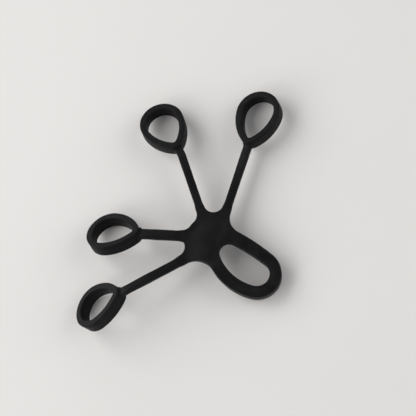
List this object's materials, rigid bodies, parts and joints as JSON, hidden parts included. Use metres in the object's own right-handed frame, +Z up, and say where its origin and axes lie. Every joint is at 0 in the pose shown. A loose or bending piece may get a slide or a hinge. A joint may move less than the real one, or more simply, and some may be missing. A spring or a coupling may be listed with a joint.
{
  "type": "finger exerciser",
  "caption": "Silicone hand exerciser: a flat palm web with stretchy arms that end in finger loops and a wide thumb loop, posed as worn.",
  "frame": {"origin": "centre of the bounding box on the surface that the five loops stand on", "axes": "+Z up, away from the surface; +Y from the palm web towards the index and middle loops; +X towards the thumb loop's side"},
  "size_m": [0.1264, 0.1486, 0.0239],
  "materials": {
    "silicone": "matte"
  },
  "bodies": {
    "palm_web": {"palm_web": "silicone"},
    "index_swing": {"index_arm_root": "silicone"},
    "index_lift": {"index_arm_knuckle": "silicone"},
    "index_stretch": {"index_arm_band": "silicone"},
    "index_twist": {"index_arm_tip": "silicone"},
    "index_loop": {"index_loop_neck": "silicone", "index_finger_loop": "silicone"},
    "middle_swing": {"middle_arm_root": "silicone"},
    "middle_lift": {"middle_arm_knuckle": "silicone"},
    "middle_stretch": {"middle_arm_band": "silicone"},
    "middle_twist": {"middle_arm_tip": "silicone"},
    "middle_loop": {"middle_loop_neck": "silicone", "middle_finger_loop": "silicone"},
    "ring_swing": {"ring_arm_root": "silicone"},
    "ring_lift": {"ring_arm_knuckle": "silicone"},
    "ring_stretch": {"ring_arm_band": "silicone"},
    "ring_twist": {"ring_arm_tip": "silicone"},
    "ring_loop": {"ring_loop_neck": "silicone", "ring_finger_loop": "silicone"},
    "little_swing": {"little_arm_root": "silicone"},
    "little_lift": {"little_arm_knuckle": "silicone"},
    "little_stretch": {"little_arm_band": "silicone"},
    "little_twist": {"little_arm_tip": "silicone"},
    "little_loop": {"little_loop_neck": "silicone", "little_finger_loop": "silicone"},
    "thumb_lift": {"thumb_upper_root": "silicone", "thumb_lower_root": "silicone"},
    "thumb_stretch": {"thumb_upper_limb": "silicone", "thumb_lower_limb": "silicone"},
    "thumb_bow": {"thumb_upper_hinge": "silicone", "thumb_lower_hinge": "silicone", "thumb_bow": "silicone"}
  },
  "joints": [
    {"name": "index_arm_swing", "type": "hinge", "parent": "palm_web", "child": "index_swing", "pos_m": [0.03001, 0.00143, 0.0089], "axis": [0.1374, 0, 0.9905], "range_deg": [-12, 12], "stiffness_Nm_per_rad": 0.1, "deforming": ["index_arm_root"]},
    {"name": "index_arm_lift", "type": "hinge", "parent": "index_swing", "child": "index_lift", "pos_m": [0.03117, 0.00525, 0.00874], "axis": [0.9472, -0.2924, -0.1314], "range_deg": [-20, 30], "stiffness_Nm_per_rad": 0.15, "deforming": ["index_arm_knuckle"]},
    {"name": "index_arm_stretch", "type": "slide", "parent": "index_lift", "child": "index_stretch", "axis": [0.2947, 0.9556, -0.0021], "range_m": [-0.012, 0.015], "stiffness_N_per_m": 150, "deforming": ["index_arm_band"]},
    {"name": "index_arm_twist", "type": "hinge", "parent": "index_stretch", "child": "index_twist", "pos_m": [0.03927, 0.03153, 0.00868], "axis": [0.2947, 0.9556, -0.0021], "range_deg": [-30, 30], "stiffness_Nm_per_rad": 0.012, "deforming": ["index_arm_tip"]},
    {"name": "index_loop_tip", "type": "hinge", "parent": "index_twist", "child": "index_loop", "pos_m": [0.0406, 0.03583, 0.00867], "axis": [-0.9476, 0.2919, -0.1296], "range_deg": [-30, 30], "stiffness_Nm_per_rad": 0.05, "deforming": ["index_loop_neck"]},
    {"name": "middle_arm_swing", "type": "hinge", "parent": "palm_web", "child": "middle_swing", "pos_m": [0.01281, 0.0014, 0.01128], "axis": [0.1374, 0, 0.9905], "range_deg": [-12, 12], "stiffness_Nm_per_rad": 0.1, "deforming": ["middle_arm_root"]},
    {"name": "middle_arm_lift", "type": "hinge", "parent": "middle_swing", "child": "middle_lift", "pos_m": [0.01145, 0.00516, 0.01147], "axis": [0.9308, 0.342, -0.1292], "range_deg": [-20, 30], "stiffness_Nm_per_rad": 0.15, "deforming": ["middle_arm_knuckle"]},
    {"name": "middle_arm_stretch", "type": "slide", "parent": "middle_lift", "child": "middle_stretch", "axis": [-0.3423, 0.9394, 0.0211], "range_m": [-0.012, 0.015], "stiffness_N_per_m": 150, "deforming": ["middle_arm_band"]},
    {"name": "middle_arm_twist", "type": "hinge", "parent": "middle_stretch", "child": "middle_twist", "pos_m": [0.00204, 0.03099, 0.01205], "axis": [-0.3423, 0.9394, 0.0211], "range_deg": [-30, 30], "stiffness_Nm_per_rad": 0.012, "deforming": ["middle_arm_tip"]},
    {"name": "middle_loop_tip", "type": "hinge", "parent": "middle_twist", "child": "middle_loop", "pos_m": [0.0005, 0.03522, 0.01215], "axis": [-0.9329, -0.3424, 0.1118], "range_deg": [-30, 30], "stiffness_Nm_per_rad": 0.05, "deforming": ["middle_loop_neck"]},
    {"name": "ring_arm_swing", "type": "hinge", "parent": "palm_web", "child": "ring_swing", "pos_m": [0.0021, -0.01728, 0.01277], "axis": [0.1374, 0, 0.9905], "range_deg": [-12, 12], "stiffness_Nm_per_rad": 0.1, "deforming": ["ring_arm_root"]},
    {"name": "ring_arm_lift", "type": "hinge", "parent": "ring_swing", "child": "ring_lift", "pos_m": [-0.00186, -0.01707, 0.01332], "axis": [0.0518, 0.9986, -0.0072], "range_deg": [-20, 30], "stiffness_Nm_per_rad": 0.15, "deforming": ["ring_arm_knuckle"]},
    {"name": "ring_arm_stretch", "type": "slide", "parent": "ring_lift", "child": "ring_stretch", "axis": [-0.9903, 0.0523, 0.1286], "range_m": [-0.003, 0.015], "stiffness_N_per_m": 150, "deforming": ["ring_arm_band"]},
    {"name": "ring_arm_twist", "type": "hinge", "parent": "ring_stretch", "child": "ring_twist", "pos_m": [-0.01463, -0.01639, 0.01498], "axis": [-0.9903, 0.0523, 0.1286], "range_deg": [-30, 30], "stiffness_Nm_per_rad": 0.012, "deforming": ["ring_arm_tip"]},
    {"name": "ring_loop_tip", "type": "hinge", "parent": "ring_twist", "child": "ring_loop", "pos_m": [-0.01909, -0.01616, 0.01556], "axis": [0.0123, -0.8896, 0.4566], "range_deg": [-30, 30], "stiffness_Nm_per_rad": 0.05, "deforming": ["ring_loop_neck"]},
    {"name": "little_arm_swing", "type": "hinge", "parent": "palm_web", "child": "little_swing", "pos_m": [0.0015, -0.03352, 0.01285], "axis": [0.1374, 0, 0.9905], "range_deg": [-12, 12], "stiffness_Nm_per_rad": 0.1, "deforming": ["little_arm_root"]},
    {"name": "little_arm_lift", "type": "hinge", "parent": "little_swing", "child": "little_lift", "pos_m": [-0.0019, -0.03558, 0.01332], "axis": [-0.5102, 0.8572, 0.0708], "range_deg": [-20, 30], "stiffness_Nm_per_rad": 0.15, "deforming": ["little_arm_knuckle"]},
    {"name": "little_arm_stretch", "type": "slide", "parent": "little_lift", "child": "little_stretch", "axis": [-0.8212, -0.5099, 0.2562], "range_m": [-0.0115, 0.015], "stiffness_N_per_m": 150, "deforming": ["little_arm_band"]},
    {"name": "little_arm_twist", "type": "hinge", "parent": "little_stretch", "child": "little_twist", "pos_m": [-0.02407, -0.04934, 0.02024], "axis": [-0.8212, -0.5099, 0.2562], "range_deg": [-37, 30], "stiffness_Nm_per_rad": 0.012, "deforming": ["little_arm_tip"]},
    {"name": "little_loop_tip", "type": "hinge", "parent": "little_twist", "child": "little_loop", "pos_m": [-0.02777, -0.05164, 0.02139], "axis": [0.5613, -0.6409, 0.5236], "range_deg": [-30, 30], "stiffness_Nm_per_rad": 0.05, "deforming": ["little_loop_neck"]},
    {"name": "thumb_loop_lift", "type": "hinge", "parent": "palm_web", "child": "thumb_lift", "pos_m": [0.03482, -0.03026, 0.00823], "axis": [-0.6098, -0.788, 0.0846], "range_deg": [-20, 30], "stiffness_Nm_per_rad": 0.25, "deforming": ["thumb_upper_root", "thumb_lower_root"]},
    {"name": "thumb_loop_stretch", "type": "slide", "parent": "thumb_lift", "child": "thumb_stretch", "axis": [0.7805, -0.6157, -0.1083], "range_m": [-0.004, 0.01], "stiffness_N_per_m": 250, "deforming": ["thumb_upper_limb", "thumb_lower_limb"]},
    {"name": "thumb_bow_tip", "type": "hinge", "parent": "thumb_stretch", "child": "thumb_bow", "pos_m": [0.04497, -0.03826, 0.00682], "axis": [-0.6098, -0.788, 0.0846], "range_deg": [-25, 25], "stiffness_Nm_per_rad": 0.03, "deforming": ["thumb_upper_hinge", "thumb_lower_hinge"]}
  ]
}
